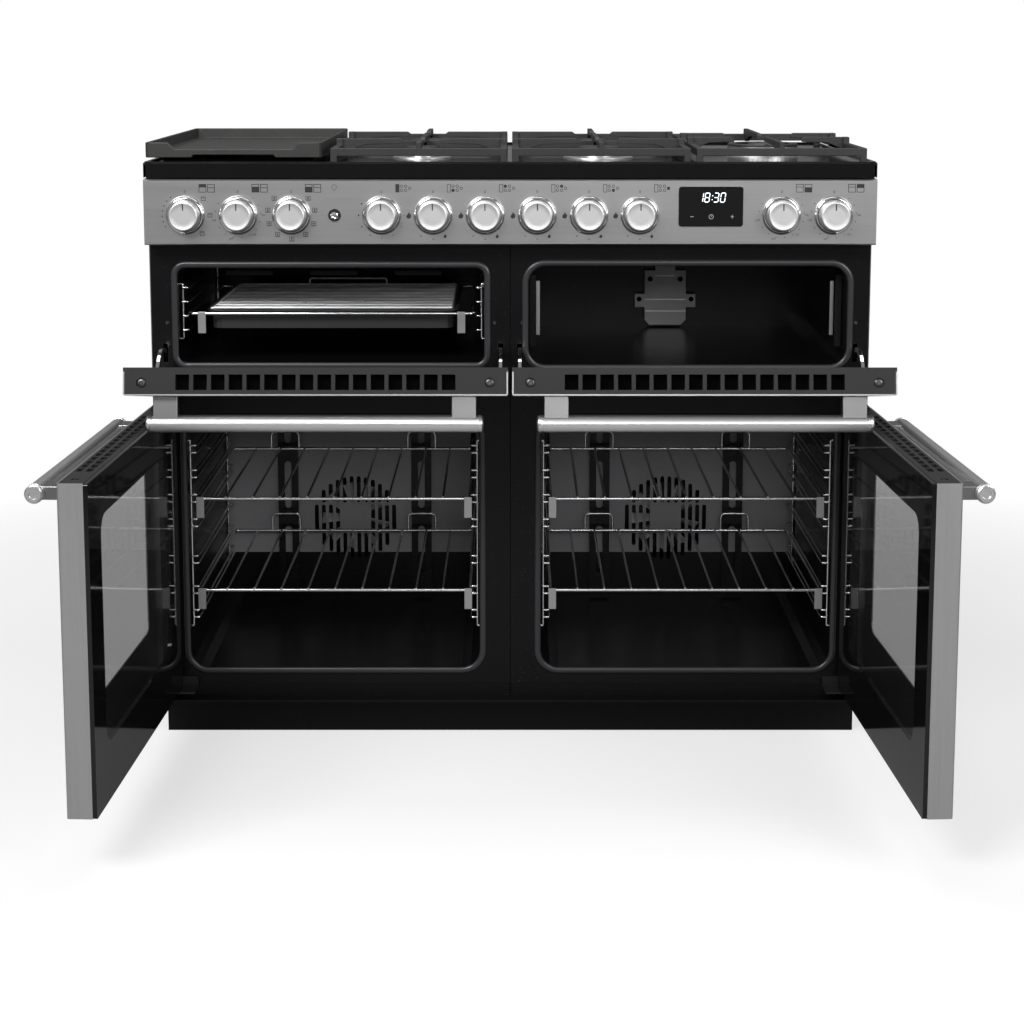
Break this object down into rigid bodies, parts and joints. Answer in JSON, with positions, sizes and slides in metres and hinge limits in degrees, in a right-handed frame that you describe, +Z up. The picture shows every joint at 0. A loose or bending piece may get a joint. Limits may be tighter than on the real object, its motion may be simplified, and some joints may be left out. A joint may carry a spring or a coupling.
{
  "type": "range cooker",
  "caption": "Freestanding range cooker: tall side-hinged ovens, drop-door grill cavity and small oven above, gas hob with pan supports and cast griddle over a ceramic zone.",
  "frame": {"origin": "on the floor, at the centre of the cabinet between the oven front and the back panel", "axes": "+X to the right as seen from the front, +Y to the back, +Z up"},
  "size_m": [1.2524, 1.1426, 0.93],
  "materials": {
    "base_frame": "satin",
    "burner_bases": "satin",
    "burner_caps": "matt",
    "ceramic_zone": "gloss",
    "clock_module": "gloss",
    "control_panel": "brushed",
    "door_hinges": "plain",
    "door_seals": "matt",
    "fan_baffles": "speckled enamel",
    "fan_left": "plain",
    "fan_motors": "plain",
    "fan_right": "plain",
    "griddle": "matt",
    "grill_carriage": "bright",
    "grill_grid": "bright",
    "grill_pan": "enamel",
    "heating_elements": "dull",
    "hob_top": "gloss enamel",
    "knob_bezels": "polished",
    "knob_burner_1": "satin",
    "knob_burner_2": "satin",
    "knob_burner_3": "satin",
    "knob_burner_4": "satin",
    "knob_burner_5": "satin",
    "knob_griddle_zone": "satin",
    "knob_grill": "satin",
    "knob_left_oven_heat": "satin",
    "knob_left_oven_mode": "satin",
    "knob_right_oven_heat": "satin",
    "knob_upper_oven_heat": "satin",
    "lamp_button": "polished",
    "left_shelf_high": "bright",
    "left_shelf_low": "bright",
    "levelling_feet": "matt",
    "lower_left_door_frame": "gloss",
    "lower_left_door_glass": "clear, black border",
    "lower_left_door_handle": "polished",
    "lower_left_door_skin": "brushed",
    "lower_right_door_frame": "gloss",
    "lower_right_door_glass": "clear, black border",
    "lower_right_door_handle": "polished",
    "lower_right_door_skin": "brushed",
    "oven_liners": "speckled enamel",
    "pan_support_left": "matt",
    "pan_support_middle": "matt",
    "pan_support_right": "matt",
    "plinth": "satin",
    "rear_panel": "satin",
    "right_shelf_high": "bright",
    "right_shelf_low": "bright",
    "shelf_racks": "bright",
    "side_panels": "semi-gloss",
    "taps_and_switches": "plain",
    "upper_left_door_frame": "gloss",
    "upper_left_door_handle": "polished",
    "upper_left_door_skin": "brushed",
    "upper_liners": "speckled enamel",
    "upper_right_door_frame": "gloss",
    "upper_right_door_handle": "polished",
    "upper_right_door_skin": "brushed"
  },
  "bodies": {
    "cabinet": {"base_frame": "base_frame", "burner_bases": "burner_bases", "burner_caps": "burner_caps", "ceramic_zone": "ceramic_zone", "clock_module": "clock_module", "control_panel": "control_panel", "door_hinges": "door_hinges", "door_seals": "door_seals", "fan_baffles": "fan_baffles", "fan_motors": "fan_motors", "heating_elements": "heating_elements", "hob_top": "hob_top", "knob_bezels": "knob_bezels", "levelling_feet": "levelling_feet", "oven_liners": "oven_liners", "plinth": "plinth", "rear_panel": "rear_panel", "shelf_racks": "shelf_racks", "side_panels": "side_panels", "taps_and_switches": "taps_and_switches", "upper_liners": "upper_liners"},
    "fan_left": {"fan_left": "fan_left"},
    "fan_right": {"fan_right": "fan_right"},
    "griddle": {"griddle": "griddle"},
    "grill": {"grill_carriage": "grill_carriage", "grill_grid": "grill_grid", "grill_pan": "grill_pan"},
    "knob_burner_1": {"knob_burner_1": "knob_burner_1"},
    "knob_burner_2": {"knob_burner_2": "knob_burner_2"},
    "knob_burner_3": {"knob_burner_3": "knob_burner_3"},
    "knob_burner_4": {"knob_burner_4": "knob_burner_4"},
    "knob_burner_5": {"knob_burner_5": "knob_burner_5"},
    "knob_griddle_zone": {"knob_griddle_zone": "knob_griddle_zone"},
    "knob_grill": {"knob_grill": "knob_grill"},
    "knob_left_oven_heat": {"knob_left_oven_heat": "knob_left_oven_heat"},
    "knob_left_oven_mode": {"knob_left_oven_mode": "knob_left_oven_mode"},
    "knob_right_oven_heat": {"knob_right_oven_heat": "knob_right_oven_heat"},
    "knob_upper_oven_heat": {"knob_upper_oven_heat": "knob_upper_oven_heat"},
    "lamp_button": {"lamp_button": "lamp_button"},
    "left_shelf_high": {"left_shelf_high": "left_shelf_high"},
    "left_shelf_low": {"left_shelf_low": "left_shelf_low"},
    "lower_left_door": {"lower_left_door_frame": "lower_left_door_frame", "lower_left_door_glass": "lower_left_door_glass", "lower_left_door_handle": "lower_left_door_handle", "lower_left_door_skin": "lower_left_door_skin"},
    "lower_right_door": {"lower_right_door_frame": "lower_right_door_frame", "lower_right_door_glass": "lower_right_door_glass", "lower_right_door_handle": "lower_right_door_handle", "lower_right_door_skin": "lower_right_door_skin"},
    "pan_support_left": {"pan_support_left": "pan_support_left"},
    "pan_support_middle": {"pan_support_middle": "pan_support_middle"},
    "pan_support_right": {"pan_support_right": "pan_support_right"},
    "right_shelf_high": {"right_shelf_high": "right_shelf_high"},
    "right_shelf_low": {"right_shelf_low": "right_shelf_low"},
    "upper_left_door": {"upper_left_door_frame": "upper_left_door_frame", "upper_left_door_handle": "upper_left_door_handle", "upper_left_door_skin": "upper_left_door_skin"},
    "upper_right_door": {"upper_right_door_frame": "upper_right_door_frame", "upper_right_door_handle": "upper_right_door_handle", "upper_right_door_skin": "upper_right_door_skin"}
  },
  "joints": [
    {"name": "lower_left_door_swing", "type": "hinge", "parent": "cabinet", "child": "lower_left_door", "pos_m": [-0.538, -0.31, 0.3], "axis": [0, 0, -1], "range_deg": [-92.5, 0]},
    {"name": "upper_left_door_drop", "type": "hinge", "parent": "cabinet", "child": "upper_left_door", "pos_m": [-0.27, -0.31, 0.56], "axis": [1, 0, 0], "range_deg": [-79.8, 4.2]},
    {"name": "lower_right_door_swing", "type": "hinge", "parent": "cabinet", "child": "lower_right_door", "pos_m": [0.538, -0.31, 0.3], "axis": [0, 0, 1], "range_deg": [-92.5, 0]},
    {"name": "upper_right_door_drop", "type": "hinge", "parent": "cabinet", "child": "upper_right_door", "pos_m": [0.27, -0.31, 0.56], "axis": [1, 0, 0], "range_deg": [-79.8, 4.2]},
    {"name": "knob_grill_turn", "type": "hinge", "parent": "cabinet", "child": "knob_grill", "pos_m": [-0.4876, -0.318, 0.823], "axis": [0, -1, 0], "range_deg": [-240, 0]},
    {"name": "knob_left_oven_heat_turn", "type": "hinge", "parent": "cabinet", "child": "knob_left_oven_heat", "pos_m": [-0.4083, -0.318, 0.823], "axis": [0, -1, 0], "range_deg": [-240, 0]},
    {"name": "knob_left_oven_mode_turn", "type": "hinge", "parent": "cabinet", "child": "knob_left_oven_mode", "pos_m": [-0.3284, -0.318, 0.823], "axis": [0, -1, 0], "continuous": true},
    {"name": "knob_griddle_zone_turn", "type": "hinge", "parent": "cabinet", "child": "knob_griddle_zone", "pos_m": [-0.193, -0.318, 0.823], "axis": [0, -1, 0], "continuous": true},
    {"name": "knob_burner_1_turn", "type": "hinge", "parent": "cabinet", "child": "knob_burner_1", "pos_m": [-0.1158, -0.318, 0.823], "axis": [0, -1, 0], "range_deg": [0, 210]},
    {"name": "knob_burner_2_turn", "type": "hinge", "parent": "cabinet", "child": "knob_burner_2", "pos_m": [-0.0376, -0.318, 0.823], "axis": [0, -1, 0], "range_deg": [0, 210]},
    {"name": "knob_burner_3_turn", "type": "hinge", "parent": "cabinet", "child": "knob_burner_3", "pos_m": [0.0406, -0.318, 0.823], "axis": [0, -1, 0], "range_deg": [0, 210]},
    {"name": "knob_burner_4_turn", "type": "hinge", "parent": "cabinet", "child": "knob_burner_4", "pos_m": [0.1182, -0.318, 0.823], "axis": [0, -1, 0], "range_deg": [0, 210]},
    {"name": "knob_burner_5_turn", "type": "hinge", "parent": "cabinet", "child": "knob_burner_5", "pos_m": [0.1947, -0.318, 0.823], "axis": [0, -1, 0], "range_deg": [0, 210]},
    {"name": "knob_right_oven_heat_turn", "type": "hinge", "parent": "cabinet", "child": "knob_right_oven_heat", "pos_m": [0.4072, -0.318, 0.823], "axis": [0, -1, 0], "range_deg": [-240, 0]},
    {"name": "knob_upper_oven_heat_turn", "type": "hinge", "parent": "cabinet", "child": "knob_upper_oven_heat", "pos_m": [0.4854, -0.318, 0.823], "axis": [0, -1, 0], "range_deg": [-240, 0]},
    {"name": "lamp_button_press", "type": "slide", "parent": "cabinet", "child": "lamp_button", "axis": [0, 1, 0], "range_m": [0, 0.003], "stiffness_N_per_m": 400},
    {"name": "left_shelf_low_slide", "type": "slide", "parent": "cabinet", "child": "left_shelf_low", "axis": [0, -1, 0], "range_m": [0, 0.3]},
    {"name": "left_shelf_high_slide", "type": "slide", "parent": "cabinet", "child": "left_shelf_high", "axis": [0, -1, 0], "range_m": [0, 0.3]},
    {"name": "right_shelf_low_slide", "type": "slide", "parent": "cabinet", "child": "right_shelf_low", "axis": [0, -1, 0], "range_m": [0, 0.3]},
    {"name": "right_shelf_high_slide", "type": "slide", "parent": "cabinet", "child": "right_shelf_high", "axis": [0, -1, 0], "range_m": [0, 0.3]},
    {"name": "grill_slide", "type": "slide", "parent": "cabinet", "child": "grill", "axis": [0, -1, 0], "range_m": [0, 0.3]},
    {"name": "fan_left_spin", "type": "hinge", "parent": "cabinet", "child": "fan_left", "pos_m": [-0.27375, 0.1665, 0.248], "axis": [0, 1, 0], "continuous": true},
    {"name": "fan_right_spin", "type": "hinge", "parent": "cabinet", "child": "fan_right", "pos_m": [0.27375, 0.1665, 0.248], "axis": [0, 1, 0], "continuous": true},
    {"name": "griddle_lift", "type": "slide", "parent": "cabinet", "child": "griddle", "axis": [0, 0, 1], "range_m": [0, 0.06]},
    {"name": "pan_support_left_lift", "type": "slide", "parent": "cabinet", "child": "pan_support_left", "axis": [0, 0, 1], "range_m": [0, 0.06]},
    {"name": "pan_support_middle_lift", "type": "slide", "parent": "cabinet", "child": "pan_support_middle", "axis": [0, 0, 1], "range_m": [0, 0.06]},
    {"name": "pan_support_right_lift", "type": "slide", "parent": "cabinet", "child": "pan_support_right", "axis": [0, 0, 1], "range_m": [0, 0.06]}
  ]
}
